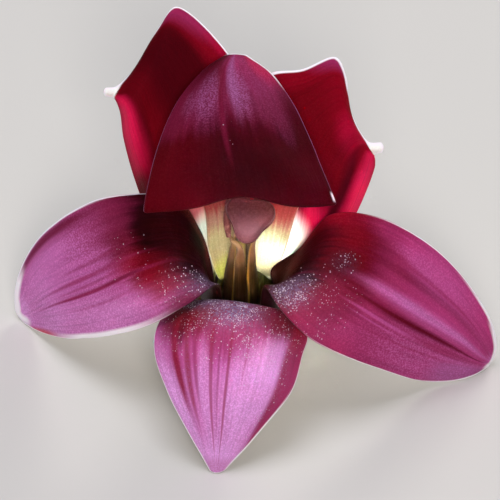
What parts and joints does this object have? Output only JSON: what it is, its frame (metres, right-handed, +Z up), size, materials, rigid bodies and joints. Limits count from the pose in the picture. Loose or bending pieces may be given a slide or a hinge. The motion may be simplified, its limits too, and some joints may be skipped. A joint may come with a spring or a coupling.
{
  "type": "cut maroon lily flower",
  "caption": "Single dark red lily-like flower with reflexed tepals and a hooded throat, picked with a short stalk and lying on a surface.",
  "frame": {"origin": "centre of the flower's footprint, on the surface that it lies on", "axes": "+Z up from that surface, -Y the way the mouth faces, +Y towards the cut stalk, +X to the right of someone who looks into the mouth"},
  "size_m": [0.0992, 0.0958, 0.0664],
  "materials": {
    "outer_tepal": "satin, waxy, fine lengthwise veins, white rim",
    "inner_tepal": "satin, waxy, fine lengthwise veins, white rim",
    "filament": "satin, fleshy",
    "anther": "matt, powdery with pollen",
    "pistil": "velvety stigma, satin style",
    "stalk": "satin green stem, matt cut end"
  },
  "bodies": {
    "root": {"outer_tepal_bottom": "outer_tepal", "outer_tepal_upper_left": "outer_tepal", "outer_tepal_upper_right": "outer_tepal", "inner_tepal_top": "inner_tepal", "inner_tepal_left": "inner_tepal", "inner_tepal_right": "inner_tepal", "filament_1": "filament", "filament_2": "filament", "filament_3": "filament", "filament_4": "filament", "filament_5": "filament", "filament_6": "filament", "anther_1": "anther", "anther_2": "anther", "anther_3": "anther", "anther_4": "anther", "anther_5": "anther", "anther_6": "anther", "pistil": "pistil", "pedicel": "stalk"}
  },
  "joints": []
}
